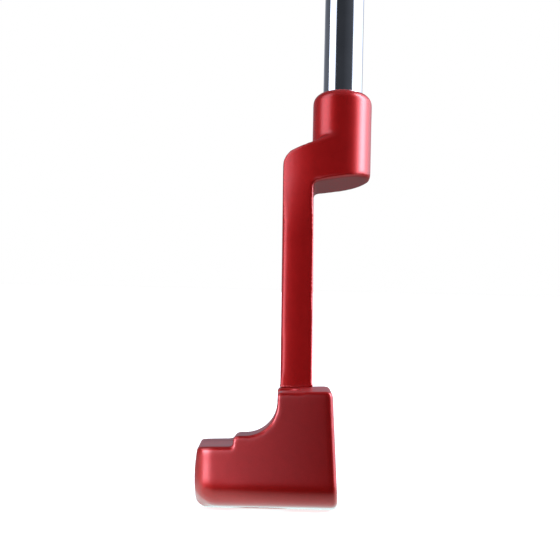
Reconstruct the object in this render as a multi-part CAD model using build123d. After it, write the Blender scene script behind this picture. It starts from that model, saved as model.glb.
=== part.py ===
from build123d import *

import os
from math import asin, cos, degrees, radians, sin, sqrt, tan

# Blade putter with a plumber's neck, right-handed, standing at address.
# +X is the target direction, -Y the toe, +Y the heel, +Z up, in millimetres.
# The origin is the point of the sole that rests on the ground.

# Head: overall size and the section of its toe and heel ends
HEAD_LENGTH = 115.0
HEAD_REAR_X = -16.45
LEADING_EDGE_X = 16.35
LEADING_EDGE_Z = 6.0
LOFT = 3.8
TOPLINE_REAR_X = 2.2
TOPLINE_REAR_Z = 27.6
TOPLINE_FRONT_Z = 28.1
TOPLINE_RISE = 2.2
FLANGE_Z = 14.6
FLANGE_RISE = 2.0
STEP_X = -7.75
STEP_Z = 17.4
SCOOP_RADIUS = 7.5
STEP_SHOULDER = 1.4
STEP_SHOULDER_DROP = 0.75
FLANGE_REAR_LEAN = 0.5
SOLE_REAR_LEAN = 0.7
REAR_BULGE_Z = 10.0
SOLE_CORNER_RADIUS = 2.8
TOE_REAR_RADIUS = 6.0
HEEL_STEP_DROP = 0.9

# Head: outline seen from the target, and outline seen from above
SOLE_FLAT_HALF = 14.0
SOLE_CAMBER = 1.3
TOE_SOLE_RADIUS = 5.2
HEEL_SOLE_RADIUS = 8.0
HEEL_TOP_RADIUS = 10.0
TOE_BOW_RADIUS = 90.0
TOE_BOW_X = 14.0
FACE_EDGE_RADIUS = 1.3
EDGE_RADIUS = 0.8

# Back cavity between the two bumpers, and the sight line on the flange
CAVITY_HALF = 27.0
CAVITY_WALL_X = 8.2
CAVITY_DROP = 0.2
CAVITY_CORNER_RADIUS = 3.5
SIGHT_LINE_WIDTH = 1.4
SIGHT_LINE_DEPTH = 0.5
SIGHT_LINE_LENGTH = 17.0
SIGHT_LINE_CENTRE = 2.5

# Face insert, in the plane of the face
INSERT_LENGTH = 68.0
INSERT_HEIGHT = 16.0
INSERT_DEPTH = 3.2
INSERT_Z = 13.4
INSERT_CORNER_RADIUS = 3.0
ADHESIVE = 0.2
GROOVE_COUNT = 9
GROOVE_DEPTH = 0.25
GROOVE_WIDTH = 0.6

# Screwed sole weights
WEIGHT_X = -1.0
WEIGHT_Y = 41.0
WEIGHT_RADIUS = 6.5
WEIGHT_RECESS = 0.2
WEIGHT_RIM_CHAMFER = 0.3
WEIGHT_CLEARANCE = 0.1
WEIGHT_STEM_RADIUS = 4.5
WEIGHT_HEAD_HEIGHT = 4.0
WEIGHT_STEM_HEIGHT = 5.0
WASHER_HEIGHT = 0.8
WRENCH_HOLE_RADIUS = 1.1
WRENCH_HOLE_OFFSET = 3.8
WRENCH_HOLE_DEPTH = 2.4

# Neck: it leans with the shaft, and heights are measured along that lean
LIE = 70.0
NECK_Y = 35.0
POST_WIDTH = 10.6
POST_CROWN_RADIUS = 14.0
POST_CROWN_X = 8.5
POST_REACH_X = 12.0
ARM_WIDTH = 14.2
ARM_CROWN_RADIUS = 26.0
ARM_CROWN_X = 15.3
NECK_BACK_X = 0.5
BLEND_START = 38.0
BLEND_END = 52.0
POST_REAR_X = 2.82
POST_FRONT_X = 10.48
POST_LEAN_REAR = 0.0099
POST_LEAN_FRONT = 0.0144
BEND_INNER = 51.8
BEND_OUTER_RADIUS = 3.9
BEND_OUTER_INSET = 2.5
NECK_FOOT = -8.0
ARM_TOP = 59.5
ARM_TOP_RISE = 19.8
ARM_UNDER_RISE = 9.5
ARM_UNDER_TILT = 5.0
INNER_BEND_RADIUS = 1.0
BASE_FILLET = 1.1
SPIGOT_DEPTH = 8.0
SPIGOT_SIZE = (4.6, 6.4)
HOSEL_X = 16.3
HOSEL_RADIUS = 7.1
HOSEL_TOP = 75.0
HOSEL_TOP_RADIUS = 2.4
BORE_BOTTOM = 55.8
TIP_PIN_TOP = 67.8
TIP_CORK_TOP = 79.8

# Shaft: a stepped steel tube
CLUB_LENGTH = 863.6
SHAFT_TIP_RADIUS = 4.7
SHAFT_BUTT_RADIUS = 7.35
SHAFT_WALL = 0.6
SHAFT_STEPS = 10
FIRST_STEP = 235.0
STEP_SPACING = 32.0
STEP_LENGTH = 2.0
EPOXY_FILM = 0.1

# Grip: a pistol-shaped putter grip, flat in front and bulging towards the golfer
GRIP_LENGTH = 267.0
TAPE_THICKNESS = 0.25
SKIN_THICKNESS = 1.3
MOUTH_RING_HEIGHT = 6.0
CAP_HEIGHT = 7.0
CAP_SPIGOT_HEIGHT = 6.0
CAP_EDGE_RADIUS = 2.6
RING_LIP_RADIUS = 1.2
VENT_RADIUS = 1.2
SEAM_WIDTH = 1.4
GRIP_CORNER_RADIUS = 4.6
# Distance above the mouth, width, depth in front of the shaft's axis, depth behind it
GRIP_SECTIONS = [
    (0.0, 20.8, 10.2, 10.8),
    (75.0, 21.6, 10.5, 11.4),
    (150.0, 23.2, 11.0, 12.6),
    (205.0, 24.8, 11.6, 15.0),
    (240.0, 26.0, 12.0, 18.0),
    (260.0, 26.4, 12.2, 18.8),
]

LEAN = 90.0 - LIE
HALF = HEAD_LENGTH / 2
# Larger than the head in any direction: the reach of the blocks that it is cut with
BEYOND = 60.0
CAMBER_RADIUS = ((HALF - SOLE_FLAT_HALF) ** 2 + SOLE_CAMBER**2) / (2 * SOLE_CAMBER)
AXIS_DIRECTION = (0, sin(radians(LEAN)), cos(radians(LEAN)))
TOPLINE_Z = TOPLINE_REAR_Z + (POST_REAR_X - TOPLINE_REAR_X) * tan(radians(TOPLINE_RISE))
NECK_PLANE = Plane(origin=(0, NECK_Y, TOPLINE_Z), x_dir=(1, 0, 0), z_dir=AXIS_DIRECTION)
SHAFT_PLANE = Plane(origin=(HOSEL_X, NECK_Y, TOPLINE_Z), x_dir=(1, 0, 0), z_dir=AXIS_DIRECTION)
GROUND_TO_TOPLINE = TOPLINE_Z / cos(radians(LEAN))
CLUB_TOP = CLUB_LENGTH - GROUND_TO_TOPLINE
GRIP_MOUTH = CLUB_TOP - GRIP_LENGTH
SHAFT_END = CLUB_TOP - CAP_HEIGHT
BORE_RADIUS = SHAFT_TIP_RADIUS + EPOXY_FILM
SHAFT_TIP = BORE_BOTTOM + 2 * EPOXY_FILM


def face_x(z):
    """X of the lofted face plane at a height."""
    return LEADING_EDGE_X - (z - LEADING_EDGE_Z) * tan(radians(LOFT))


def topline_z(x):
    """Height of the topline, which rises gently towards the face."""
    return TOPLINE_REAR_Z + (x - TOPLINE_REAR_X) * tan(radians(TOPLINE_RISE))


def flange_z(x):
    """Height of the flange's top, which also rises towards the face."""
    return FLANGE_Z + (x - HEAD_REAR_X) * tan(radians(FLANGE_RISE))


def end_section(step_z):
    """Section of the toe or heel end: low flange, step, scoop, thick topline and lofted face."""
    scoop_x = TOPLINE_REAR_X - SCOOP_RADIUS
    scoop_z = step_z + SCOOP_RADIUS
    scoop_mid = (
        scoop_x + SCOOP_RADIUS * cos(radians(45)),
        scoop_z - SCOOP_RADIUS * sin(radians(45)),
    )
    top_front = (face_x(TOPLINE_FRONT_Z), topline_z(face_x(TOPLINE_FRONT_Z)))
    step_top = (STEP_X, step_z - STEP_SHOULDER_DROP)
    step_middle = (STEP_X + STEP_SHOULDER / 3, step_z - STEP_SHOULDER_DROP / 3)
    step_shoulder = (STEP_X + STEP_SHOULDER, step_z)
    flange_rear = (HEAD_REAR_X + FLANGE_REAR_LEAN, flange_z(HEAD_REAR_X + FLANGE_REAR_LEAN))
    flange_front = (STEP_X, flange_z(STEP_X))
    sole_rear = (HEAD_REAR_X + SOLE_REAR_LEAN, 0)
    outline = [
        Line(flange_rear, flange_front),
        Line(flange_front, step_top),
        ThreePointArc(step_top, step_middle, step_shoulder),
        Line(step_shoulder, (scoop_x, step_z)),
        ThreePointArc((scoop_x, step_z), scoop_mid, (TOPLINE_REAR_X, scoop_z)),
        Line((TOPLINE_REAR_X, scoop_z), (TOPLINE_REAR_X, TOPLINE_REAR_Z)),
        Line((TOPLINE_REAR_X, TOPLINE_REAR_Z), top_front),
        Line(top_front, (face_x(0), 0)),
        Line((face_x(0), 0), sole_rear),
        ThreePointArc(sole_rear, (HEAD_REAR_X, REAR_BULGE_Z), flange_rear),
    ]
    return Plane.XZ * make_face(outline)


def target_outline():
    """Outline seen from the target: cambered sole, level topline, and a heel round top and bottom."""
    past = HALF + 4
    topline_end = topline_z(face_x(TOPLINE_FRONT_Z))
    toe_angle = degrees(asin((past - SOLE_FLAT_HALF) / CAMBER_RADIUS))
    toe_camber = CenterArc((-SOLE_FLAT_HALF, CAMBER_RADIUS), CAMBER_RADIUS, -90, -toe_angle)
    heel_y = HALF - HEEL_SOLE_RADIUS
    heel_reach = CAMBER_RADIUS - HEEL_SOLE_RADIUS
    heel_sine = (heel_y - SOLE_FLAT_HALF) / heel_reach
    heel_angle = degrees(asin(heel_sine))
    heel_z = CAMBER_RADIUS - heel_reach * sqrt(1 - heel_sine**2)
    heel_camber = CenterArc((SOLE_FLAT_HALF, CAMBER_RADIUS), CAMBER_RADIUS, -90, heel_angle)
    heel_foot = CenterArc((heel_y, heel_z), HEEL_SOLE_RADIUS, heel_angle - 90, 90 - heel_angle)
    heel_top = CenterArc(
        (HALF - HEEL_TOP_RADIUS, topline_end - HEEL_TOP_RADIUS), HEEL_TOP_RADIUS, 0, 90
    )
    outline = [
        Line((-SOLE_FLAT_HALF, 0), (SOLE_FLAT_HALF, 0)),
        heel_camber,
        heel_foot,
        Line(heel_foot @ 1, heel_top @ 0),
        heel_top,
        Line(heel_top @ 1, (-past, topline_end)),
        Line((-past, topline_end), toe_camber @ 1),
        toe_camber,
    ]
    return extrude(Plane.YZ * make_face(outline), BEYOND, both=True)


def toe_bow_y(x):
    """Y of the toe end, which bows back from the face towards the rear."""
    return TOE_BOW_RADIUS - HALF - sqrt(TOE_BOW_RADIUS**2 - (x - TOE_BOW_X) ** 2)


# Kept between the plan outline and the bulge of the head's rear, so that the two do not coincide
REAR_CLEARANCE = 0.3


def plan_outline():
    """Outline seen from above: straight face, bowed toe end, and a full round at the toe's rear corner."""
    rear = HEAD_REAR_X - REAR_CLEARANCE
    front = LEADING_EDGE_X + 2
    middle = (rear + front) / 2
    heel = HALF + 5
    toe_rear = (rear, toe_bow_y(rear))
    toe_front = (front, toe_bow_y(front))
    outline = [
        Line(toe_rear, (rear, heel)),
        Line((rear, heel), (front, heel)),
        Line((front, heel), toe_front),
        ThreePointArc(toe_front, (middle, toe_bow_y(middle)), toe_rear),
    ]
    face = make_face(outline)
    corner = face.vertices().sort_by_distance((*toe_rear, 0))[0]
    return extrude(fillet(corner, TOE_REAR_RADIUS), BEYOND)


def edges_where(part, chosen):
    """The edges of a part whose bounding box answers a question."""
    return [edge for edge in part.edges() if chosen(edge.bounding_box())]


def is_upper_edge(box):
    """Whether an edge is the rear of the topline, or the top of the flange's rear or toe end."""
    near = 0.1
    flange_top = box.min.Z > FLANGE_Z - near and box.max.Z < flange_z(STEP_X) + near
    topline_rear = box.min.Z > TOPLINE_REAR_Z - near and box.max.X < TOPLINE_REAR_X + near
    flange_rear = flange_top and box.max.X < HEAD_REAR_X + FLANGE_REAR_LEAN + near
    flange_toe = flange_top and box.max.Y < -HALF + TOE_REAR_RADIUS + 4 and box.max.X < STEP_X + near
    long_edge = box.max.Y - box.min.Y > HALF
    return flange_toe or (long_edge and (topline_rear or flange_rear))


def head_blank():
    """The solid of the head before its cavity, insert, weights and neck are cut for."""
    toe_half = extrude(end_section(STEP_Z), HALF + 8)
    heel_half = extrude(end_section(STEP_Z - HEEL_STEP_DROP), -HALF - 8)
    blank = (toe_half + heel_half) & target_outline() & plan_outline()
    toe_sole = edges_where(blank, lambda box: box.max.Y < -50 and box.max.Z < 2 * SOLE_CAMBER)
    blank = fillet(toe_sole, TOE_SOLE_RADIUS)
    rear_x = HEAD_REAR_X + 2 * SOLE_REAR_LEAN
    rear_chain = edges_where(blank, lambda box: box.max.X < rear_x and box.min.Z < REAR_BULGE_Z)
    blank = fillet(rear_chain, SOLE_CORNER_RADIUS)
    face_x_least = face_x(TOPLINE_FRONT_Z) - 0.5
    face_edges = edges_where(blank, lambda box: box.min.X > face_x_least)
    blank = fillet(face_edges, FACE_EDGE_RADIUS)
    return fillet(edges_where(blank, is_upper_edge), EDGE_RADIUS)


CAVITY_FLOOR = Plane(
    origin=(STEP_X, 0, flange_z(STEP_X) - CAVITY_DROP),
    x_dir=(cos(radians(FLANGE_RISE)), 0, sin(radians(FLANGE_RISE))),
    z_dir=(-sin(radians(FLANGE_RISE)), 0, cos(radians(FLANGE_RISE))),
)


def cavity():
    """The space between the bumpers: down to the lower flange, and forward under the topline."""
    depth = CAVITY_WALL_X - STEP_X
    plan = Pos(depth - BEYOND / 2, 0) * Rectangle(BEYOND, 2 * CAVITY_HALF)
    block = extrude(CAVITY_FLOOR * plan, BEYOND)
    upright = edges_where(block, lambda box: box.max.Z - box.min.Z > HALF and box.max.X > 0)
    block = fillet(upright, CAVITY_CORNER_RADIUS)
    foot = edges_where(block, lambda box: box.max.Z < STEP_Z and box.max.X > HEAD_REAR_X)
    return fillet(foot, CAVITY_CORNER_RADIUS / 2)


def sight_line(depth_from, depth_to):
    """A slot along the lower flange, square to the face, between two depths."""
    slot = Pos(SIGHT_LINE_CENTRE, 0) * SlotOverall(SIGHT_LINE_LENGTH, SIGHT_LINE_WIDTH)
    return extrude(CAVITY_FLOOR.offset(-depth_from) * slot, depth_from - depth_to)


FACE_PLANE = Plane(
    origin=(face_x(INSERT_Z), 0, INSERT_Z),
    x_dir=(0, 1, 0),
    z_dir=(cos(radians(LOFT)), 0, sin(radians(LOFT))),
)


def insert_block(depth_from, depth_to):
    """The outline of the face insert between two depths behind the face."""
    outline = RectangleRounded(INSERT_LENGTH, INSERT_HEIGHT, INSERT_CORNER_RADIUS)
    return extrude(FACE_PLANE.offset(-depth_from) * outline, depth_from - depth_to)


def face_insert():
    insert = insert_block(0, INSERT_DEPTH)
    pitch = INSERT_HEIGHT / (GROOVE_COUNT + 1)
    for index in range(GROOVE_COUNT):
        height = (index + 1) * pitch - INSERT_HEIGHT / 2
        groove = Pos(0, height) * Rectangle(INSERT_LENGTH + 1, GROOVE_WIDTH)
        insert -= extrude(FACE_PLANE * groove, -GROOVE_DEPTH)
    return insert


def insert_adhesive():
    return insert_block(INSERT_DEPTH, INSERT_DEPTH + ADHESIVE)


def weight_plane(side):
    """The sole's surface at one weight, looking into the head; side is -1 at the toe."""
    lean = asin((WEIGHT_Y - SOLE_FLAT_HALF) / CAMBER_RADIUS)
    height = CAMBER_RADIUS * (1 - cos(lean)) + WEIGHT_RECESS
    return Plane(
        origin=(WEIGHT_X, side * WEIGHT_Y, height),
        x_dir=(1, 0, 0),
        z_dir=(0, -side * sin(lean), cos(lean)),
    )


def disc(plane, radius, low, high):
    """A cylinder on a plane's axis between two heights."""
    return extrude(plane.offset(low) * Circle(radius), high - low)


def weight_hole(side):
    plane = weight_plane(side)
    shoulder = WEIGHT_HEAD_HEIGHT + WASHER_HEIGHT
    bottom = shoulder + WEIGHT_STEM_HEIGHT + 0.5
    mouth = disc(plane, WEIGHT_RADIUS + WEIGHT_CLEARANCE, -2, shoulder)
    return mouth + disc(plane, WEIGHT_STEM_RADIUS, shoulder, bottom)


def sole_weight(side):
    """A screwed steel weight with two holes for a pin wrench in its face."""
    plane = weight_plane(side)
    shoulder = WEIGHT_HEAD_HEIGHT + WASHER_HEIGHT
    weight = disc(plane, WEIGHT_RADIUS, 0, WEIGHT_HEAD_HEIGHT)
    rim = weight.edges().group_by(Axis.Z)[0]
    weight = chamfer(rim, WEIGHT_RIM_CHAMFER)
    weight += disc(plane, WEIGHT_STEM_RADIUS, WEIGHT_HEAD_HEIGHT, shoulder + WEIGHT_STEM_HEIGHT)
    for offset in (-WRENCH_HOLE_OFFSET, WRENCH_HOLE_OFFSET):
        hole = Pos(offset, 0) * Circle(WRENCH_HOLE_RADIUS)
        weight -= extrude(plane * hole, WRENCH_HOLE_DEPTH)
    return weight


def weight_washer(side):
    plane = weight_plane(side)
    top = WEIGHT_HEAD_HEIGHT + WASHER_HEIGHT
    ring = disc(plane, WEIGHT_RADIUS, WEIGHT_HEAD_HEIGHT, top)
    return ring - disc(plane, WEIGHT_STEM_RADIUS, WEIGHT_HEAD_HEIGHT, top)


def spigot():
    """The tongue under the neck that is let into the head."""
    middle = (POST_REAR_X + POST_FRONT_X) / 2
    tongue = Pos(middle, 0) * Rectangle(*SPIGOT_SIZE)
    return extrude(NECK_PLANE.offset(-SPIGOT_DEPTH) * tongue, SPIGOT_DEPTH + 3)


def head_body():
    head = head_blank() - cavity()
    head -= sight_line(-1, SIGHT_LINE_DEPTH)
    head -= insert_block(-2, INSERT_DEPTH + ADHESIVE)
    head -= spigot()
    for side in (-1, 1):
        head -= weight_hole(side)
    return head


def under_topline(gap, thickness):
    """A slab whose top lies the given distance below the topline."""
    plane = Plane(
        origin=(TOPLINE_REAR_X, NECK_Y, TOPLINE_REAR_Z - gap),
        x_dir=(cos(radians(TOPLINE_RISE)), 0, sin(radians(TOPLINE_RISE))),
        z_dir=(-sin(radians(TOPLINE_RISE)), 0, cos(radians(TOPLINE_RISE))),
    )
    return extrude(plane * Rectangle(3 * thickness, 3 * thickness), -thickness)


PROFILE_PLANE = Plane(
    origin=NECK_PLANE.origin,
    x_dir=(1, 0, 0),
    z_dir=(0, -cos(radians(LEAN)), sin(radians(LEAN))),
)


def neck_side():
    """Side of the neck before the space under its arm is cut; across is X, up is along the lean."""
    rear_low = POST_REAR_X - NECK_FOOT * POST_LEAN_REAR
    rear_high = POST_REAR_X - ARM_TOP * POST_LEAN_REAR
    corner = ARM_TOP - BEND_OUTER_INSET * tan(radians(ARM_TOP_RISE))
    top = corner + (HOSEL_X - rear_high) * tan(radians(ARM_TOP_RISE))
    outline = Polyline(
        (rear_low, NECK_FOOT),
        (rear_high, corner),
        (HOSEL_X, top),
        (HOSEL_X, NECK_FOOT),
        close=True,
    )
    face = make_face(outline)
    outer = face.vertices().sort_by_distance((rear_high, corner))[0]
    face = fillet(outer, BEND_OUTER_RADIUS)
    return extrude(PROFILE_PLANE * face, ARM_WIDTH, both=True)


def crowned_section(height, reach, crown_x, width, crown_radius):
    """Section of the neck at a height: two straight sides that curve in from crown_x to the rear."""

    def half_width(x):
        return width / 2 - crown_radius + sqrt(crown_radius**2 - (crown_x - x) ** 2)

    half = width / 2
    back = half_width(NECK_BACK_X)
    middle_x = (NECK_BACK_X + crown_x) / 2
    middle = half_width(middle_x)
    outline = [
        Line((NECK_BACK_X, back), (NECK_BACK_X, -back)),
        ThreePointArc((NECK_BACK_X, -back), (middle_x, -middle), (crown_x, -half)),
        Polyline((crown_x, -half), (reach, -half), (reach, half), (crown_x, half)),
        ThreePointArc((crown_x, half), (middle_x, middle), (NECK_BACK_X, back)),
    ]
    return NECK_PLANE.offset(height) * make_face(outline)


def neck_form():
    """The neck's two crowned sides: narrow along the post, wide and flush with the hosel at the arm."""
    post = (POST_REACH_X, POST_CROWN_X, POST_WIDTH, POST_CROWN_RADIUS)
    arm = (HOSEL_X, ARM_CROWN_X, ARM_WIDTH, ARM_CROWN_RADIUS)
    sections = [
        crowned_section(NECK_FOOT, *post),
        crowned_section(BLEND_START, *post),
        crowned_section(BLEND_END, *arm),
        crowned_section(HOSEL_TOP, *arm),
    ]
    return loft(sections, ruled=True)


def space_under_arm():
    """What is cut away in front of the post and below the arm and hosel, tilted less than the lean."""
    tilt = radians(LEAN - ARM_UNDER_TILT)
    front_high = POST_FRONT_X - BEND_INNER * POST_LEAN_FRONT
    plane = Plane(
        origin=PROFILE_PLANE.from_local_coords((front_high, BEND_INNER, -HOSEL_RADIUS)),
        x_dir=(1, 0, 0),
        z_dir=(0, -cos(tilt), sin(tilt)),
    )
    drop = -BEND_INNER + NECK_FOOT
    outline = Polyline(
        (0, 0),
        (BEYOND, BEYOND * tan(radians(ARM_UNDER_RISE))),
        (BEYOND, drop),
        (-drop * POST_LEAN_FRONT, drop),
        close=True,
    )
    face = make_face(outline)
    face = fillet(face.vertices().sort_by_distance((0, 0))[0], INNER_BEND_RADIUS)
    return extrude(plane * face, BEYOND, both=True)


def hosel():
    """The cylinder around the shaft, rounded at its mouth."""
    barrel = disc(SHAFT_PLANE, HOSEL_RADIUS, BEND_INNER - 8, HOSEL_TOP)
    rim = barrel.edges().sort_by(Axis(NECK_PLANE.origin, NECK_PLANE.z_dir))
    return fillet(rim[-1], HOSEL_TOP_RADIUS)


def plumbers_neck():
    upper = (neck_side() & neck_form()) + hosel() - space_under_arm()
    post = upper + under_topline(0.15, 12)
    seam = edges_where(
        post,
        lambda box: abs(box.min.Z - TOPLINE_Z) < 1.1
        and abs(box.max.Z - TOPLINE_Z) < 1.1
        and NECK_BACK_X < box.min.X
        and box.max.X < POST_REACH_X,
    )
    post = fillet(seam, BASE_FILLET)
    neck = post - under_topline(0, 30)
    neck -= disc(SHAFT_PLANE, BORE_RADIUS, BORE_BOTTOM, HOSEL_TOP + 5)
    return neck + spigot()


def tube(inner, outer, low, high):
    """A sleeve around the shaft's axis between two heights along it."""
    return disc(SHAFT_PLANE, outer, low, high) - disc(SHAFT_PLANE, inner, low, high)


def shaft():
    """A steel tube that grows from tip to butt in equal steps, each with a short taper."""
    rise = (SHAFT_BUTT_RADIUS - SHAFT_TIP_RADIUS) / SHAFT_STEPS
    outer = [(SHAFT_TIP_RADIUS, SHAFT_TIP)]
    for index in range(SHAFT_STEPS):
        height = FIRST_STEP + index * STEP_SPACING
        radius = SHAFT_TIP_RADIUS + index * rise
        outer.append((radius, height))
        outer.append((radius + rise, height + STEP_LENGTH))
    outer.append((SHAFT_BUTT_RADIUS, SHAFT_END))
    inner = [(radius - SHAFT_WALL, height) for radius, height in reversed(outer)]
    plane = Plane(origin=SHAFT_PLANE.origin, x_dir=(1, 0, 0), z_dir=PROFILE_PLANE.z_dir)
    wall = plane * make_face(Polyline(*outer, *inner, close=True))
    return revolve(wall, Axis(SHAFT_PLANE.origin, SHAFT_PLANE.z_dir), 360)


def shaft_epoxy():
    return tube(SHAFT_TIP_RADIUS, BORE_RADIUS, BORE_BOTTOM, HOSEL_TOP - 0.4)


def tip_weight_pin():
    """A brass pin pressed into the shaft's tip to set the swing weight."""
    pin = disc(SHAFT_PLANE, SHAFT_TIP_RADIUS - SHAFT_WALL, SHAFT_TIP, TIP_PIN_TOP)
    return chamfer(pin.edges(), 0.4)


def tip_cork():
    """A cork that closes the shaft's tip above the pin, so that no epoxy runs up it."""
    return disc(SHAFT_PLANE, SHAFT_TIP_RADIUS - SHAFT_WALL, TIP_PIN_TOP, TIP_CORK_TOP)


def grip_section(width, front, back):
    """Flat front with round corners, straight sides, and an elliptical back."""
    half = width / 2
    corner = GRIP_CORNER_RADIUS
    flat = half - corner
    outline = [
        Line((-flat, -front), (flat, -front)),
        CenterArc((flat, corner - front), corner, -90, 90),
        Line((half, corner - front), (half, 0)),
        EllipticalCenterArc((0, 0), half, back, 0, arc_size=180),
        Line((-half, 0), (-half, corner - front)),
        CenterArc((-flat, corner - front), corner, 180, 90),
    ]
    return make_face(outline)


def grip_form(inset):
    """The grip's outer form, or the same form drawn in by the thickness of its skin."""
    sections = [
        SHAFT_PLANE.offset(GRIP_MOUTH + height)
        * grip_section(width - 2 * inset, front - inset, back - inset)
        for height, width, front, back in GRIP_SECTIONS
    ]
    return loft(sections)


def grip_slab(low, high):
    """A block around the grip between two heights above its mouth."""
    return extrude(SHAFT_PLANE.offset(GRIP_MOUTH + low) * Rectangle(BEYOND, BEYOND), high - low)


def grip_tape():
    return tube(SHAFT_BUTT_RADIUS, SHAFT_BUTT_RADIUS + TAPE_THICKNESS, GRIP_MOUTH + 2, SHAFT_END)


def grip_bore():
    return disc(
        SHAFT_PLANE, SHAFT_BUTT_RADIUS + TAPE_THICKNESS, GRIP_MOUTH - 1, SHAFT_END + CAP_HEIGHT
    )


def grip_underlisting():
    """The firm inner sleeve that gives the grip its shape."""
    return grip_form(SKIN_THICKNESS) - grip_slab(0, MOUTH_RING_HEIGHT) - grip_bore()


def grip_seam_slab():
    """The narrow strip down the back of the grip where the skin's two edges meet."""
    strip = Pos(0, BEYOND / 2) * Rectangle(SEAM_WIDTH, BEYOND)
    return extrude(SHAFT_PLANE.offset(GRIP_MOUTH) * strip, GRIP_LENGTH)


def grip_wall():
    """The whole wall of skin around the underlisting."""
    return grip_form(0) - grip_form(SKIN_THICKNESS) - grip_slab(0, MOUTH_RING_HEIGHT)


def grip_skin():
    return grip_wall() - grip_seam_slab()


def grip_seam():
    return grip_wall() & grip_seam_slab()


def grip_mouth_ring():
    """The moulded collar that closes the skin at the grip's lower end."""
    ring = grip_form(0) & grip_slab(0, MOUTH_RING_HEIGHT)
    lip = ring.faces().sort_by(Axis(SHAFT_PLANE.origin, SHAFT_PLANE.z_dir))[0]
    ring = fillet(lip.edges(), RING_LIP_RADIUS)
    return ring - grip_bore()


def grip_cap():
    """The moulded cap at the butt, with its vent hole and a plug that enters the shaft."""
    top = GRIP_SECTIONS[-1]
    base = SHAFT_PLANE.offset(SHAFT_END)
    cap = extrude(base * grip_section(*top[1:]), CAP_HEIGHT)
    crown = cap.faces().sort_by(Axis(SHAFT_PLANE.origin, SHAFT_PLANE.z_dir))[-1]
    cap = fillet(crown.edges(), CAP_EDGE_RADIUS)
    cap += disc(SHAFT_PLANE, SHAFT_BUTT_RADIUS - SHAFT_WALL, SHAFT_END - CAP_SPIGOT_HEIGHT, SHAFT_END)
    vent = disc(SHAFT_PLANE, VENT_RADIUS, SHAFT_END - 2 * CAP_SPIGOT_HEIGHT, SHAFT_END + 2 * CAP_HEIGHT)
    return cap - vent


PARTS = {
    "head_body": head_body(),
    "plumbers_neck": plumbers_neck(),
    "face_insert": face_insert(),
    "insert_adhesive": insert_adhesive(),
    "sight_line_fill": sight_line(0.1, SIGHT_LINE_DEPTH),
    "toe_sole_weight": sole_weight(-1),
    "heel_sole_weight": sole_weight(1),
    "toe_weight_washer": weight_washer(-1),
    "heel_weight_washer": weight_washer(1),
    "shaft": shaft(),
    "shaft_epoxy": shaft_epoxy(),
    "tip_weight_pin": tip_weight_pin(),
    "tip_cork": tip_cork(),
    "grip_tape": grip_tape(),
    "grip_underlisting": grip_underlisting(),
    "grip_skin": grip_skin(),
    "grip_seam": grip_seam(),
    "grip_mouth_ring": grip_mouth_ring(),
    "grip_cap": grip_cap(),
}

os.makedirs("parts", exist_ok=True)
for name, part in PARTS.items():
    part.label = name
    export_step(part, f"parts/{name}.step")
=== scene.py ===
"""A golf putter's visual model: a red blade head with a plumber's neck, a chrome shaft and a rubber grip.

The head, the neck, the shaft and the grip's skin get finer meshes than the CAD part's; the other pieces
keep their CAD meshes. Sizes in this script are millimetres unless they say.
"""

import math

import bpy
import numpy as np
from mathutils import Matrix, Vector


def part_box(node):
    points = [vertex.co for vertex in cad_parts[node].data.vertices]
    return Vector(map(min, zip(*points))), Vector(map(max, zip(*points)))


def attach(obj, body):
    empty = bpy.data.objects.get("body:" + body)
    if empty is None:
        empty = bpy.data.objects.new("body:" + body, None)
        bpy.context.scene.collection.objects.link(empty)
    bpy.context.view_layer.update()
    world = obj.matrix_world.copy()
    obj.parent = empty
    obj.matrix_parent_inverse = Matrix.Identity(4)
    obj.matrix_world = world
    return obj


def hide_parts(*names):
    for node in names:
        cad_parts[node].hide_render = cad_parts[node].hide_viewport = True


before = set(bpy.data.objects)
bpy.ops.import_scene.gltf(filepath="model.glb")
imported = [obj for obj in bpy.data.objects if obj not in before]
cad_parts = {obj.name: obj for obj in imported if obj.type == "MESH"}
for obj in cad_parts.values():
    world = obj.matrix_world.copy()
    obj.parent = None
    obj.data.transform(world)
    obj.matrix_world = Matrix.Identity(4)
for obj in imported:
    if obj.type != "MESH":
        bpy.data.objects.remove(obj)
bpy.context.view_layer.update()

MM = 0.001


# ---------------------------------------------------------------- node helpers


def link(tree, a, b):
    tree.links.new(a, b)


def math_node(tree, operation, *values):
    """The result of a math node on numbers and sockets."""
    node = tree.nodes.new("ShaderNodeMath")
    node.operation = operation
    for socket, value in zip(node.inputs, values):
        if isinstance(value, (int, float)):
            socket.default_value = value
        else:
            link(tree, value, socket)
    return node.outputs[0]


def mixture(tree, *parts):
    """The sum of sockets, each times its share."""
    total = 0.0
    for socket, share in parts:
        total = math_node(tree, "MULTIPLY_ADD", socket, share, total)
    return total


def blend(tree, factor, low, high):
    """A mix of two colours, each a socket, a colour or a grey level."""
    node = tree.nodes.new("ShaderNodeMix")
    node.data_type = "RGBA"
    link(tree, factor, node.inputs["Factor"])
    for key, value in (("A", low), ("B", high)):
        if isinstance(value, float):
            node.inputs[key].default_value = (value, value, value, 1)
        elif isinstance(value, tuple):
            node.inputs[key].default_value = (*value, 1)
        else:
            link(tree, value, node.inputs[key])
    return node.outputs["Result"]


def millimetres(tree, stretch=(1.0, 1.0, 1.0)):
    """Object coordinates in millimetres, divided by stretch along each axis."""
    source = tree.nodes.new("ShaderNodeTexCoord")
    mapping = tree.nodes.new("ShaderNodeMapping")
    mapping.inputs["Scale"].default_value = [1 / MM / s for s in stretch]
    link(tree, source.outputs["Object"], mapping.inputs["Vector"])
    return mapping.outputs["Vector"]


def axes(tree, output):
    """The three numbers of a kind of texture coordinates."""
    source = tree.nodes.new("ShaderNodeTexCoord")
    split = tree.nodes.new("ShaderNodeSeparateXYZ")
    link(tree, source.outputs[output], split.inputs[0])
    return split.outputs


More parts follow.
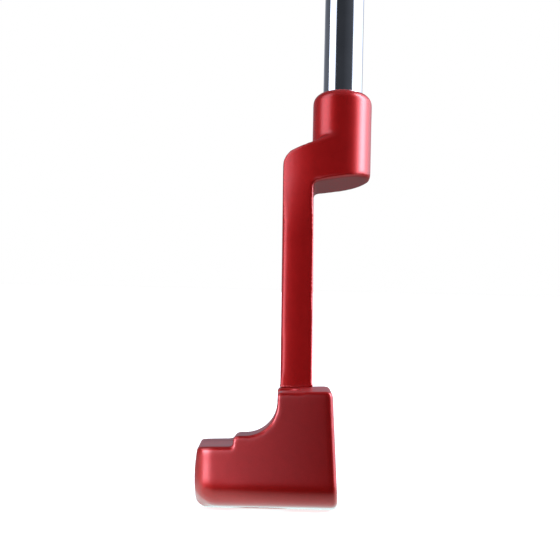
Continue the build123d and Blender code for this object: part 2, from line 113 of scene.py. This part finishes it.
def noise(tree, vector, size, detail=3.0, roughness=0.55):
    """Noise from 0 to 1 with features about size across."""
    node = tree.nodes.new("ShaderNodeTexNoise")
    node.inputs["Scale"].default_value = 1 / size
    node.inputs["Detail"].default_value = detail
    node.inputs["Roughness"].default_value = roughness
    link(tree, vector, node.inputs["Vector"])
    return node.outputs["Fac"]


def cells(tree, vector, size, output="Distance"):
    """Voronoi cells about size across."""
    node = tree.nodes.new("ShaderNodeTexVoronoi")
    node.inputs["Scale"].default_value = 1 / size
    link(tree, vector, node.inputs["Vector"])
    return node.outputs[output]


def spread(tree, value, low, high, to_low=0.0, to_high=1.0):
    """value's range low..high mapped to to_low..to_high."""
    node = tree.nodes.new("ShaderNodeMapRange")
    node.inputs["From Min"].default_value = low
    node.inputs["From Max"].default_value = high
    node.inputs["To Min"].default_value = to_low
    node.inputs["To Max"].default_value = to_high
    link(tree, value, node.inputs["Value"])
    return node.outputs["Result"]


def ramp(tree, value, stops):
    """A colour ramp through (position, colour) stops."""
    node = tree.nodes.new("ShaderNodeValToRGB")
    elements = node.color_ramp.elements
    elements[0].position, elements[0].color = stops[0][0], (*stops[0][1], 1)
    elements[1].position, elements[1].color = stops[-1][0], (*stops[-1][1], 1)
    for position, colour in stops[1:-1]:
        elements.new(position).color = (*colour, 1)
    link(tree, value, node.inputs["Fac"])
    return node.outputs["Color"]


def bump(tree, height, strength, depth, normal=None):
    """A bump of the given depth, on top of another bump's normal if there is one."""
    node = tree.nodes.new("ShaderNodeBump")
    node.inputs["Strength"].default_value = strength
    node.inputs["Distance"].default_value = depth * MM
    link(tree, height, node.inputs["Height"])
    if normal is not None:
        link(tree, normal, node.inputs["Normal"])
    return node.outputs["Normal"]


def new_material(name, **sockets):
    """A material, its tree and its shader, with constant values set on the shader's own sockets."""
    made = bpy.data.materials.new(name)
    made.use_nodes = True
    shader = made.node_tree.nodes["Principled BSDF"]
    for key, value in sockets.items():
        shader.inputs[key.replace("_", " ")].default_value = value
    return made, made.node_tree, shader


def by_ray(tree, for_light, for_camera, output):
    """Shows the camera one shader and lights the objects with another."""
    rays = tree.nodes.new("ShaderNodeLightPath")
    choose = tree.nodes.new("ShaderNodeMixShader")
    link(tree, rays.outputs["Is Camera Ray"], choose.inputs[0])
    link(tree, for_light, choose.inputs[1])
    link(tree, for_camera, choose.inputs[2])
    link(tree, choose.outputs[0], tree.nodes[output].inputs["Surface"])


# ---------------------------------------------------------------- materials

DEEP_RED = (0.255, 0.0018, 0.0014)
RED = (0.295, 0.0026, 0.0022)
BRIGHT_RED = (0.335, 0.0038, 0.0036)
PAINT_ROUGHNESS = (0.38, 0.43)
FLAKE_SIZE = 0.14
CHROME_DARK = (0.55, 0.57, 0.60)
CHROME_PALE = (0.70, 0.71, 0.73)
CHROME_ROUGHNESS = (0.05, 0.11)

# How far a line of grain is drawn out along each axis
POLISH_LINE = (1.0, 18.0, 60.0)
MILLING_LINE = (1.0, 1.0, 12.0)

# The part of a noise's range that nearly all of it falls in
NOISE_SPAN = (0.3, 0.7)


def red_paint():
    """Satin candy red: a clear coat over tinted fine aluminium flake."""
    made, tree, shader = new_material(
        "red_paint",
        Metallic=0.5,
        Specular_IOR_Level=0.0,
        Coat_Weight=0.7,
        Coat_Roughness=0.25,
        Coat_IOR=1.5,
    )
    where = millimetres(tree)
    mottle = noise(tree, where, size=1.6, detail=4.0, roughness=0.6)
    cloud = noise(tree, where, size=9.0, detail=3.0, roughness=0.5)
    flake = tree.nodes.new("ShaderNodeSeparateColor")
    link(tree, cells(tree, where, FLAKE_SIZE, output="Color"), flake.inputs[0])
    tone = mixture(tree, (mottle, 0.45), (flake.outputs[0], 0.25), (cloud, 0.3))
    colour = ramp(tree, tone, [(0.25, DEEP_RED), (0.5, RED), (0.75, BRIGHT_RED)])
    link(tree, colour, shader.inputs["Base Color"])
    link(tree, spread(tree, tone, *NOISE_SPAN, *PAINT_ROUGHNESS), shader.inputs["Roughness"])
    peel = bump(tree, mottle, strength=0.25, depth=0.01)
    grain = bump(tree, flake.outputs[1], strength=0.25, depth=0.006, normal=peel)
    link(tree, grain, shader.inputs["Normal"])
    return made


def chrome_plate():
    """Bright chrome with faint polishing lines along the tube and a few soft smears."""
    made, tree, shader = new_material("chrome_plate", Metallic=1.0)
    smear = noise(tree, millimetres(tree), size=14.0, detail=4.0, roughness=0.65)
    lines = noise(tree, millimetres(tree, stretch=POLISH_LINE), size=0.25, detail=2.0)
    colour = ramp(tree, smear, list(zip(NOISE_SPAN, (CHROME_DARK, CHROME_PALE))))
    link(tree, colour, shader.inputs["Base Color"])
    wear = mixture(tree, (smear, 0.6), (lines, 0.4))
    link(tree, spread(tree, wear, *NOISE_SPAN, *CHROME_ROUGHNESS), shader.inputs["Roughness"])
    link(tree, bump(tree, lines, strength=0.15, depth=0.004), shader.inputs["Normal"])
    return made


def plain_metal(name, dark, pale, rough, lines=(1.0, 1.0, 1.0), size=0.4):
    """A metal with machining or casting grain."""
    made, tree, shader = new_material(name, Metallic=1.0)
    grain = noise(tree, millimetres(tree, stretch=lines), size)
    stain = noise(tree, millimetres(tree), size=6.0, detail=4.0)
    tone = mixture(tree, (grain, 0.5), (stain, 0.5))
    link(tree, ramp(tree, tone, list(zip(NOISE_SPAN, (dark, pale)))), shader.inputs["Base Color"])
    gloss = spread(tree, tone, *NOISE_SPAN, rough - 0.06, rough + 0.08)
    link(tree, gloss, shader.inputs["Roughness"])
    link(tree, bump(tree, grain, strength=0.4, depth=0.01), shader.inputs["Normal"])
    return made


def plain_soft(name, dark, pale, rough, size=0.6, depth=0.05):
    """Rubber, cork, paint fill or adhesive: a matt skin with pores."""
    made, tree, shader = new_material(name)
    where = millimetres(tree)
    pores = cells(tree, where, size)
    stain = noise(tree, where, size=4.0, detail=5.0, roughness=0.6)
    tone = mixture(tree, (pores, 0.4), (stain, 0.6))
    link(tree, ramp(tree, tone, [(0.25, dark), (0.75, pale)]), shader.inputs["Base Color"])
    gloss = spread(tree, stain, *NOISE_SPAN, rough - 0.08, rough + 0.08)
    link(tree, gloss, shader.inputs["Roughness"])
    link(tree, bump(tree, tone, strength=0.5, depth=depth), shader.inputs["Normal"])
    return made


# Each material's darker and paler colour, its roughness, and the size and depth of its grain
METALS = {
    "steel": dict(dark=(0.36, 0.36, 0.37), pale=(0.50, 0.50, 0.51), rough=0.36),
    "insert_metal": dict(
        dark=(0.42, 0.43, 0.44), pale=(0.60, 0.60, 0.61), rough=0.30, lines=MILLING_LINE, size=0.3
    ),
    "brass": dict(dark=(0.50, 0.35, 0.14), pale=(0.68, 0.50, 0.22), rough=0.3),
}
SOFTS = {
    "adhesive": dict(dark=(0.60, 0.55, 0.42), pale=(0.75, 0.70, 0.58), rough=0.5),
    "white_fill": dict(
        dark=(0.72, 0.72, 0.70), pale=(0.82, 0.82, 0.80), rough=0.45, size=0.3, depth=0.01
    ),
    "washer_rubber": dict(dark=(0.010, 0.010, 0.010), pale=(0.025, 0.025, 0.025), rough=0.6),
    "cork": dict(dark=(0.26, 0.14, 0.06), pale=(0.50, 0.31, 0.16), rough=0.85, size=1.0, depth=0.2),
    "tape": dict(dark=(0.62, 0.56, 0.42), pale=(0.74, 0.68, 0.55), rough=0.7, size=0.5, depth=0.03),
    "underlisting_rubber": dict(dark=(0.012, 0.012, 0.012), pale=(0.03, 0.03, 0.03), rough=0.8),
    "grip_skin": dict(
        dark=(0.010, 0.010, 0.011), pale=(0.028, 0.028, 0.030), rough=0.62, size=0.5, depth=0.06
    ),
    "grip_seam": dict(
        dark=(0.014, 0.014, 0.015), pale=(0.035, 0.035, 0.036), rough=0.7, size=0.4, depth=0.05
    ),
    "grip_mouldings": dict(
        dark=(0.010, 0.010, 0.010), pale=(0.022, 0.022, 0.023), rough=0.45, size=0.5, depth=0.03
    ),
}
MATERIALS = {"red_paint": red_paint(), "chrome_plate": chrome_plate()}
MATERIALS.update({name: plain_metal(name, **look) for name, look in METALS.items()})
MATERIALS.update({name: plain_soft(name, **look) for name, look in SOFTS.items()})

NODE_SLOTS = {
    "head_body": "red_paint",
    "plumbers_neck": "red_paint",
    "shaft": "chrome_plate",
    "shaft_epoxy": "adhesive",
    "tip_weight_pin": "brass",
    "tip_cork": "cork",
    "face_insert": "insert_metal",
    "insert_adhesive": "adhesive",
    "sight_line_fill": "white_fill",
    "toe_sole_weight": "steel",
    "heel_sole_weight": "steel",
    "toe_weight_washer": "washer_rubber",
    "heel_weight_washer": "washer_rubber",
    "grip_tape": "tape",
    "grip_underlisting": "underlisting_rubber",
    "grip_skin": "grip_skin",
    "grip_seam": "grip_seam",
    "grip_mouth_ring": "grip_mouldings",
    "grip_cap": "grip_mouldings",
}


def dress(piece, slot_name):
    """Gives a piece the one material of its slot."""
    piece.data.materials.clear()
    piece.data.materials.append(MATERIALS[slot_name])


def finish_piece(piece, slot_name, *nodes):
    """Gives a new piece its slot's material, puts it on its body and hides the CAD nodes it stands for."""
    dress(piece, slot_name)
    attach(piece, "root")
    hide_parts(*nodes)


for node, slot_name in NODE_SLOTS.items():
    dress(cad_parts[node], slot_name)


# ---------------------------------------------------------------- mesh helpers

WEIGHT_LEVELS = 10


def ease(value, start, end):
    """0 at start, 1 at end and smooth between; end may lie below start."""
    t = np.clip((value - start) / (end - start), 0, 1)
    return t * t * (3 - 2 * t)


def show(name, mesh):
    """A new object with a mesh, in the scene."""
    piece = bpy.data.objects.new(name, mesh)
    bpy.context.scene.collection.objects.link(piece)
    return piece


def apply_modifiers(piece):
    """Turns a piece's modifiers into its mesh."""
    graph = bpy.context.evaluated_depsgraph_get()
    made = bpy.data.meshes.new_from_object(piece.evaluated_get(graph))
    piece.modifiers.clear()
    piece.data = made


def coordinates(mesh):
    """A mesh's points as an array, one row for each."""
    points = np.empty(len(mesh.vertices) * 3, np.float32)
    mesh.vertices.foreach_get("co", points)
    return points.reshape(-1, 3)


def remeshed(node, name, voxel):
    """A fine even copy of a CAD node's mesh."""
    piece = show(name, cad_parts[node].data.copy())
    modifier = piece.modifiers.new("remesh", "REMESH")
    modifier.mode = "VOXEL"
    modifier.voxel_size = voxel * MM
    bpy.context.view_layer.update()
    apply_modifiers(piece)
    return piece


def smooth(piece, rounds, weights=None):
    """Smooths a piece's mesh, everywhere or by weights from 0 to 1 for each point."""
    modifier = piece.modifiers.new("smooth", "SMOOTH")
    modifier.factor = 0.5
    modifier.iterations = rounds
    if weights is not None:
        group = piece.vertex_groups.new(name="soft")
        for level in range(1, WEIGHT_LEVELS + 1):
            chosen = np.flatnonzero(np.round(weights * WEIGHT_LEVELS) == level)
            group.add([int(i) for i in chosen], level / WEIGHT_LEVELS, "REPLACE")
        modifier.vertex_group = "soft"
    apply_modifiers(piece)
    piece.vertex_groups.clear()


def keep_in_box(piece, node):
    """Keeps a piece's points inside its node's own box."""
    low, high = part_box(node)
    points = np.clip(coordinates(piece.data), np.array(low), np.array(high))
    piece.data.vertices.foreach_set("co", points.astype(np.float32).ravel())
    piece.data.shade_smooth()


def grid_mesh(name, rows, closed_columns=True):
    """A closed skin of quads over a loop of rows of points; open columns get a face at each end."""
    count, width = len(rows), len(rows[0])
    points = [point for row in rows for point in row]
    faces = []
    for i in range(count):
        for j in range(width if closed_columns else width - 1):
            k, m = (i + 1) % count, (j + 1) % width
            faces.append((i * width + j, i * width + m, k * width + m, k * width + j))
    if not closed_columns:
        faces.append([i * width for i in range(count)])
        faces.append([i * width + width - 1 for i in reversed(range(count))])
    mesh = bpy.data.meshes.new(name)
    mesh.from_pydata(points, [], faces)
    mesh.validate()
    mesh.shade_smooth()
    return show(name, mesh)


# ---------------------------------------------------------------- head and neck

# Smoothing of the head. A pair says where an easing starts and where it's full: from the toe, from
# the heel, from the rear or, for the upper edges and the seam's top and foot, from the sole
HEAD_VOXEL = 0.32
HEAD_ROUNDS = 3
EDGE_ROUNDS = 24
SEAM_ROUNDS = 40
TOE_END = (3.0, 1.2)
HEEL_END = (6.0, 2.0)
UPPER_EDGES = (11.5, 13.5)
UPPER_SHARE = 0.5
SEAM_FROM_REAR = (9.0, 6.0)
SEAM_FROM_TOE = (9.0, 6.0)
SEAM_TOP = (13.0, 11.0)
SEAM_FOOT = (4.0, 6.0)

# Smoothing of the neck, whose arm meets the hosel between UNDER_ARM and OVER_ARM. Its pairs are
# from the neck's rear or from its foot
NECK_VOXEL = 0.3
NECK_ROUNDS = 10
CROOK_ROUNDS = 45
UNDER_ARM = 53.0
OVER_ARM = 71.0
POST_REAR = (2.6, 1.0)
POST_FOOT = (10.5, 13.0)
POST_TOP = (UNDER_ARM + 2.0, UNDER_ARM - 4.0)
CROOK_FOOT = (UNDER_ARM - 3.0, UNDER_ARM)
CROOK_TOP = (OVER_ARM + 5.0, OVER_ARM)
CROOK_FROM_REAR = (4.0, 9.0)


def in_box(piece, node):
    """A piece's points from the low corner of its node's box, as three rows of millimetres."""
    return ((coordinates(piece.data) - np.array(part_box(node)[0])) / MM).T


def head_shell():
    """The head with its edges eased by hand polishing, most of all at the toe's rear corner."""
    piece = remeshed("head_body", "head_shell", HEAD_VOXEL)
    smooth(piece, HEAD_ROUNDS)
    x, y, z = in_box(piece, "head_body")
    low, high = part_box("head_body")
    length = (high.y - low.y) / MM
    ends = np.maximum(ease(y, *TOE_END), ease(length - y, *HEEL_END))
    upper = UPPER_SHARE * ease(z, *UPPER_EDGES)
    smooth(piece, EDGE_ROUNDS, np.maximum(ends, upper))
    seam = ease(x, *SEAM_FROM_REAR) * ease(y, *SEAM_FROM_TOE) * ease(z, *SEAM_TOP) * ease(z, *SEAM_FOOT)
    smooth(piece, SEAM_ROUNDS, seam)
    keep_in_box(piece, "head_body")
    finish_piece(piece, "red_paint", "head_body")


def neck_shell():
    """The neck with its post, arm and hosel flowing into one another."""
    piece = remeshed("plumbers_neck", "neck_shell", NECK_VOXEL)
    smooth(piece, NECK_ROUNDS)
    x, _, z = in_box(piece, "plumbers_neck")
    rear = ease(x, *POST_REAR) * ease(z, *POST_FOOT) * ease(z, *POST_TOP)
    crook = ease(z, *CROOK_FOOT) * ease(z, *CROOK_TOP) * ease(x, *CROOK_FROM_REAR)
    smooth(piece, CROOK_ROUNDS, np.maximum(rear, crook))
    keep_in_box(piece, "plumbers_neck")
    finish_piece(piece, "red_paint", "plumbers_neck")


# ---------------------------------------------------------------- shaft

# The shaft's sizes, as the CAD part has them; heights run along its axis from the tip
LEAN = math.radians(20.0)
AXIS = Vector((0.0, math.sin(LEAN), math.cos(LEAN)))
ACROSS = Vector((0.0, math.cos(LEAN), -math.sin(LEAN)))
TIP_RADIUS = 4.7
BUTT_RADIUS = 7.35
WALL = 0.6
STEPS = 10
FIRST_STEP = 179.0
STEP_SPACING = 32.0
STEP_LENGTH = 2.0
RIM = 0.3
RIM_SUPPORT = 0.8
SUPPORT_BELOW_STEP = 8.0
SUPPORT_ABOVE_STEP = 6.0
SHAFT_AROUND = 160
SHARP_RIM = math.radians(50)


def shaft_foot():
    """The lowest point of the shaft's axis, from the box of the shaft itself."""
    low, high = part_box("shaft")
    radius = TIP_RADIUS * MM
    return Vector(((low.x + high.x) / 2, low.y + radius * math.cos(LEAN), low.z + radius * math.sin(LEAN)))


def shaft_length():
    """The shaft's length along its axis, from its box."""
    low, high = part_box("shaft")
    return ((high.z - low.z) / MM - (TIP_RADIUS + BUTT_RADIUS) * math.sin(LEAN)) / math.cos(LEAN)


FOOT = shaft_foot()


def on_axis(x, y, height):
    """A point beside the shaft's axis: x towards the target, y towards the golfer."""
    return FOOT + Vector((x, 0, 0)) * MM + ACROSS * (y * MM) + AXIS * (height * MM)


def shaft_tube():
    """The stepped tube with the small crisp shoulders that rolling leaves at each step."""
    end = shaft_length()
    rise = (BUTT_RADIUS - TIP_RADIUS) / STEPS
    profile = [(TIP_RADIUS - RIM, 0.0), (TIP_RADIUS, RIM), (TIP_RADIUS, RIM_SUPPORT)]
    for index in range(STEPS):
        radius = TIP_RADIUS + index * rise
        height = FIRST_STEP + index * STEP_SPACING
        profile += [
            (radius, height - SUPPORT_BELOW_STEP),
            (radius, height),
            (radius + rise * 0.5, height + STEP_LENGTH / 2),
            (radius + rise, height + STEP_LENGTH),
            (radius + rise, height + STEP_LENGTH + SUPPORT_ABOVE_STEP),
        ]
    profile += [(BUTT_RADIUS, end - RIM_SUPPORT), (BUTT_RADIUS, end - RIM), (BUTT_RADIUS - RIM, end)]
    profile += [(BUTT_RADIUS - WALL, end), (BUTT_RADIUS - WALL, FIRST_STEP + STEPS * STEP_SPACING)]
    profile += [(TIP_RADIUS - WALL, FIRST_STEP), (TIP_RADIUS - WALL, 0.0)]
    turns = [2 * math.pi * j / SHAFT_AROUND for j in range(SHAFT_AROUND)]
    rows = []
    for radius, height in profile:
        rows.append([on_axis(radius * math.cos(t), radius * math.sin(t), height) for t in turns])
    piece = grid_mesh("shaft_tube", rows)
    piece.data.set_sharp_from_angle(angle=SHARP_RIM)
    finish_piece(piece, "chrome_plate", "shaft")


# ---------------------------------------------------------------- grip

# The grip's form: height above its mouth, width, depth in front of the axis and depth behind it
GRIP_SECTIONS = np.array([
    (0.0, 20.8, 10.2, 10.8),
    (75.0, 21.6, 10.5, 11.4),
    (150.0, 23.2, 11.0, 12.6),
    (205.0, 24.8, 11.6, 15.0),
    (240.0, 26.0, 12.0, 18.0),
    (260.0, 26.4, 12.2, 18.8),
])
GRIP_CORNER = 4.6
SKIN = 1.3
SKIN_INSET = 0.02
GRIP_FROM = 6.0
GRIP_TO = 260.0
GRIP_ROW = 0.6
GRIP_INSIDE_ROWS = 24
AROUND = 280
REAR_POINTS = 60
CORNER_POINTS = 24
SHARP_FOLD = math.radians(60)

# The skin's relief: ribs across the front, a gutter on each side of them, pebbles everywhere else
SEAM_HALF = 0.7
SEAM_BORDER = (0.8, 2.0)
PLAIN_END = (1.5, 3.0)
RIB_PITCH = 4.0
RIB_GROOVE = (0.72, 0.98)
GROOVE_DEPTH = 0.35
FRONT_HALF = 7.4
FRONT_EDGE = 0.4
GUTTER_OUT = 1.2
GUTTER_SIDE = (0.7, 0.25)
PEBBLE_PITCH = 1.8
PEBBLE_DEPTH = 0.28
PEBBLE_SIDE = (0.85, 0.45)


def form_at(height):
    """Width, front and back of the grip at a height above its mouth, on a smooth curve."""
    knots = GRIP_SECTIONS[:, 0]
    i = int(np.clip(np.searchsorted(knots, height) - 1, 0, len(knots) - 2))
    span = knots[i + 1] - knots[i]
    t = (height - knots[i]) / span
    slopes = np.gradient(GRIP_SECTIONS[:, 1:], knots, axis=0) * span
    start, end = GRIP_SECTIONS[i, 1:], GRIP_SECTIONS[i + 1, 1:]
    curve = (2 * t**3 - 3 * t**2 + 1) * start + (3 * t**2 - 2 * t**3) * end
    return curve + (t**3 - 2 * t**2 + t) * slopes[i] + (t**3 - t**2) * slopes[i + 1]


def section_points(height, inset):
    """Points and outward normals round the grip at a height, from one side of the seam to the other."""
    width, front, back = form_at(height)
    half, front, back = width / 2 - inset, front - inset, back - inset
    flat = half - GRIP_CORNER
    rear_turns = np.linspace(math.asin(SEAM_HALF / half), math.pi / 2, REAR_POINTS)
    half_loop = [(half * math.sin(t), back * math.cos(t)) for t in rear_turns]
    for t in np.linspace(0, math.pi / 2, CORNER_POINTS):
        across, ahead = GRIP_CORNER * math.cos(t), GRIP_CORNER * math.sin(t)
        half_loop.append((flat + across, GRIP_CORNER - front - ahead))
    half_loop.append((0, -front))
    points = np.array(half_loop + [(-x, y) for x, y in reversed(half_loop[:-1])])
    steps = np.linalg.norm(np.diff(points, axis=0), axis=1)
    lengths = np.concatenate([[0], np.cumsum(steps)])
    around = np.linspace(0, lengths[-1], AROUND)
    even = np.stack([np.interp(around, lengths, points[:, i]) for i in (0, 1)], axis=1)
    along = np.gradient(even, axis=0)
    normals = np.stack([along[:, 1], -along[:, 0]], axis=1)
    normals /= np.linalg.norm(normals, axis=1)[:, None]
    outward = np.sign((normals * even).sum(axis=1))
    return even, normals * outward[:, None], around


def skin_relief(around, height):
    """How far the moulded skin lies below its form: pebbles at the sides and back, ribs in front."""
    total = around[-1]
    from_front = np.abs(around - total / 2)
    front = ease(from_front, FRONT_HALF + FRONT_EDGE, FRONT_HALF - FRONT_EDGE)
    rib = 0.5 - 0.5 * math.cos(2 * math.pi * height / RIB_PITCH)
    groove = GROOVE_DEPTH * ease(rib, *RIB_GROOVE)
    row = round(height / PEBBLE_PITCH)
    across = (around - total / 2) / PEBBLE_PITCH + (row % 2) / 2
    dx = (across - np.round(across)) * PEBBLE_PITCH
    dy = height - row * PEBBLE_PITCH
    pebble = PEBBLE_DEPTH * (1 - ease(np.hypot(dx, dy), *PEBBLE_SIDE))
    ends = ease(height - GRIP_FROM, *PLAIN_END) * ease(GRIP_TO - height, *PLAIN_END)
    seam = ease(np.minimum(around, total - around), *SEAM_BORDER)
    gutter = ease(np.abs(from_front - FRONT_HALF - GUTTER_OUT), *GUTTER_SIDE) * GROOVE_DEPTH
    return ends * np.maximum(gutter, front * groove + (1 - front) * seam * pebble)


def grip_moulding():
    """The moulded rubber skin, wrapped round the grip from one side of its seam to the other."""
    mouth = shaft_length() - GRIP_TO
    layers = []
    for height in np.append(np.arange(GRIP_FROM, GRIP_TO, GRIP_ROW), GRIP_TO):
        even, normals, around = section_points(height, SKIN_INSET)
        layers.append((even - normals * skin_relief(around, height)[:, None], height))
    for height in np.linspace(GRIP_TO, GRIP_FROM, GRIP_INSIDE_ROWS):
        layers.append((section_points(height, SKIN)[0], height))
    rows = [[on_axis(x, y, mouth + height) for x, y in points] for points, height in layers]
    piece = grid_mesh("grip_moulding", rows, closed_columns=False)
    piece.data.set_sharp_from_angle(angle=SHARP_FOLD)
    finish_piece(piece, "grip_skin", "grip_skin")


# ---------------------------------------------------------------- studio

# The floor: its half width in metres, and its look to the camera
FLOOR_HALF = 40.0
FLOOR_GREY = 0.45
FLOOR_SHINE = 0.8

# The light that the floor throws back: (from y, to y, level at the first, level at the second), in metres
FLOOR_GLOW = [
    (-0.045, -0.02, 2.4, 1.6),
    (-0.064, -0.054, 0.02, 1.0),
    (0.02, 0.12, 1.0, 0.17),
]
GLOW_UNDER_TOE = (0.58, 1.0, 1.0)
GLOW_BEHIND = (0.8, 1.0, 1.04)
GLOW_TURN = (-0.02, 0.02)

# Brightness of the studio round the horizon: (degrees from the toe's side towards the face, level)
HIGH_PANELS = [
    (-180, 0.3),
    (-150, 0.3),
    (-140, 0.12),
    (-103, 0.12),
    (-97, 3.4),
    (-65, 3.4),
    (-55, 0.045),
    (0, 0.05),
    (40, 0.085),
    (62, 0.1),
    (70, 2.4),
    (80, 5.0),
    (88, 19.0),
    (106, 19.0),
    (118, 5.0),
    (132, 2.2),
    (140, 1.8),
    (147, 0.35),
    (180, 0.3),
]
# The same near the horizon, where the left panel is brightest and spills round to the front
LOW_PANELS = [
    (-180, 0.3),
    (-150, 0.3),
    (-140, 0.17),
    (-84, 0.17),
    (-78, 20.0),
    (-54, 20.0),
    (-45, 7.0),
    (-37, 3.4),
    (-30, 2.6),
    (-14, 1.5),
    (-4, 0.7),
    (6, 0.15),
    (62, 0.1),
    (72, 5.0),
    (110, 5.0),
    (132, 2.2),
    (164, 0.3),
    (180, 0.3),
]
PANEL_PEAK = 24.0
CEILING = 0.35
COOL_WHITE = (0.95, 1.03, 1.22)

# Heights on the sky's unit sphere over which the low panels give way to the high, and those to the ceiling
LOW_TO_HIGH = (0.18, 0.34)
HIGH_TO_CEILING = (0.72, 0.86)

# The camera stands level on the toe's side, far away on a long lens
CAMERA_PLACE = (2.15 * MM, -2197.5 * MM, 53.35 * MM)
CAMERA_LENS = 599.3
CAMERA_SENSOR = 36.0
CAMERA_ROLL = math.radians(1.35)
CAMERA_NEAR = 0.05
CAMERA_FAR = 200.0


def floor():
    """A wide pale floor, white to the camera, that lights the object from below by its own glow."""
    h = FLOOR_HALF
    mesh = bpy.data.meshes.new("floor")
    mesh.from_pydata([(-h, -h, 0), (h, -h, 0), (h, h, 0), (-h, h, 0)], [], [(0, 1, 2, 3)])
    piece = show("floor", mesh)
    made, tree, shader = new_material(
        "floor",
        Base_Color=(FLOOR_GREY, FLOOR_GREY, FLOOR_GREY, 1),
        Roughness=0.9,
        Emission_Color=(1, 1, 1, 1),
        Emission_Strength=FLOOR_SHINE,
    )
    y = axes(tree, "Object")[1]
    strength = 1.0
    for zone in FLOOR_GLOW:
        strength = math_node(tree, "MULTIPLY", spread(tree, y, *zone), strength)
    glow = tree.nodes.new("ShaderNodeEmission")
    tint = blend(tree, spread(tree, y, *GLOW_TURN), GLOW_UNDER_TOE, GLOW_BEHIND)
    link(tree, tint, glow.inputs["Color"])
    link(tree, strength, glow.inputs["Strength"])
    by_ray(tree, glow.outputs[0], shader.outputs[0], "Material Output")
    piece.data.materials.append(made)


def levels(tree, share, panels):
    """The brightness round the horizon as a grey ramp."""
    stops = []
    for degrees, level in panels:
        stops.append(((degrees + 180) / 360, (level / PANEL_PEAK,) * 3))
    return ramp(tree, share, stops)


def studio():
    """Two tall soft panels at the sides of a dim room, in front of white paper."""
    world = bpy.data.worlds.new("studio")
    bpy.context.scene.world = world
    world.use_nodes = True
    tree = world.node_tree
    background = tree.nodes["Background"]
    x, y, z = axes(tree, "Generated")
    azimuth = math_node(tree, "ARCTAN2", x, math_node(tree, "MULTIPLY", y, -1.0))
    share = spread(tree, azimuth, -math.pi, math.pi)
    low = levels(tree, share, LOW_PANELS)
    high = levels(tree, share, HIGH_PANELS)
    around = blend(tree, spread(tree, z, *LOW_TO_HIGH), low, high)
    around = blend(tree, spread(tree, z, *HIGH_TO_CEILING), around, CEILING / PANEL_PEAK)
    tint = tree.nodes.new("ShaderNodeMix")
    tint.data_type = "RGBA"
    tint.blend_type = "MULTIPLY"
    tint.inputs["Factor"].default_value = 1.0
    link(tree, around, tint.inputs["A"])
    tint.inputs["B"].default_value = (*COOL_WHITE, 1)
    link(tree, tint.outputs["Result"], background.inputs["Color"])
    background.inputs["Strength"].default_value = PANEL_PEAK
    paper = tree.nodes.new("ShaderNodeBackground")
    paper.inputs["Color"].default_value = (1, 1, 1, 1)
    by_ray(tree, background.outputs[0], paper.outputs[0], "World Output")


def camera():
    """The camera, on the toe's side."""
    data = bpy.data.cameras.new("camera")
    data.lens = CAMERA_LENS
    data.sensor_width = CAMERA_SENSOR
    data.clip_start = CAMERA_NEAR
    data.clip_end = CAMERA_FAR
    eye = bpy.data.objects.new("camera", data)
    bpy.context.scene.collection.objects.link(eye)
    level = Matrix.Rotation(math.pi / 2, 4, "X")
    roll = Matrix.Rotation(CAMERA_ROLL, 4, "Z")
    eye.matrix_world = Matrix.Translation(CAMERA_PLACE) @ level @ roll
    bpy.context.scene.camera = eye


head_shell()
neck_shell()
shaft_tube()
grip_moulding()
floor()
studio()
camera()
bpy.context.scene.view_settings.view_transform = "Standard"
bpy.context.view_layer.update()
